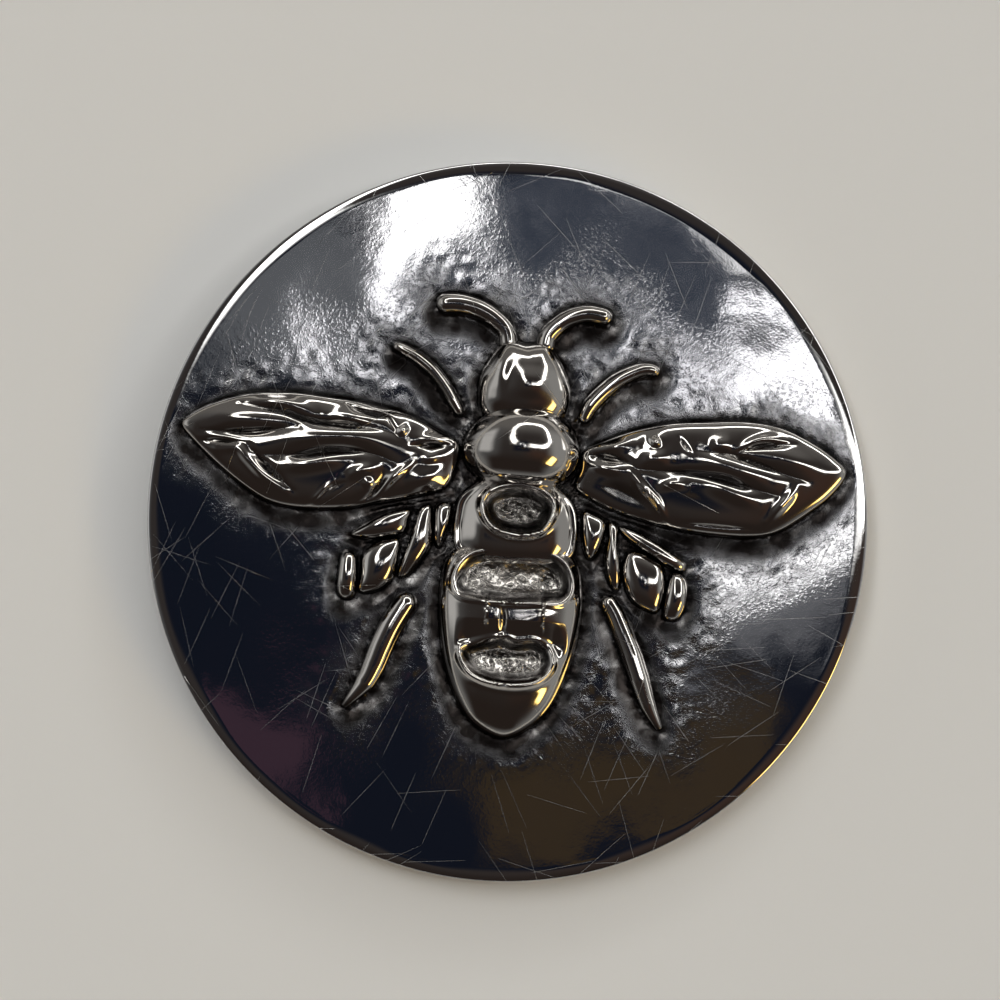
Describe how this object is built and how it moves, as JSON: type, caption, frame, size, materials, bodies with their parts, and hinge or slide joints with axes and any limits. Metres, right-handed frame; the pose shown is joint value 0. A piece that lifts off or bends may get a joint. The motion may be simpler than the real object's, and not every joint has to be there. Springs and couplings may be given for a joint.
{
  "type": "ball marker",
  "caption": "Round metal golf ball marker with a raised honeybee on its polished face and a steel disc set into its flat back for a magnetic clip.",
  "frame": {"origin": "centre of the flat back, where the marker rests on the green", "axes": "+Z out of the face with the bee, +Y from the bee's abdomen towards its head, +X towards the bee's wing on the right as seen from above"},
  "size_m": [0.025, 0.025, 0.0034],
  "materials": {
    "plated_casting": "polished antiqued nickel plating, fine scratches, dark patina in the recesses",
    "backing_steel": "nickel-plated steel, satin",
    "adhesive": "cured clear adhesive, slightly yellow"
  },
  "bodies": {
    "root": {"face_disc": "plated_casting", "steel_backing_disc": "backing_steel", "adhesive_layer": "adhesive", "thorax": "plated_casting", "head": "plated_casting", "abdomen": "plated_casting", "waist_boss": "plated_casting", "left_antenna": "plated_casting", "right_antenna": "plated_casting", "left_foreleg": "plated_casting", "right_foreleg": "plated_casting", "left_hind_leg": "plated_casting", "right_hind_leg": "plated_casting", "left_forewing": "plated_casting", "right_forewing": "plated_casting", "left_hindwing_front_panel": "plated_casting", "left_hindwing_middle_panel": "plated_casting", "left_hindwing_outer_panel": "plated_casting", "left_hindwing_leaf_panel": "plated_casting", "left_hindwing_root_panel": "plated_casting", "right_hindwing_front_panel": "plated_casting", "right_hindwing_middle_panel": "plated_casting", "right_hindwing_outer_panel": "plated_casting", "right_hindwing_leaf_panel": "plated_casting", "right_hindwing_root_panel": "plated_casting"}
  },
  "joints": []
}
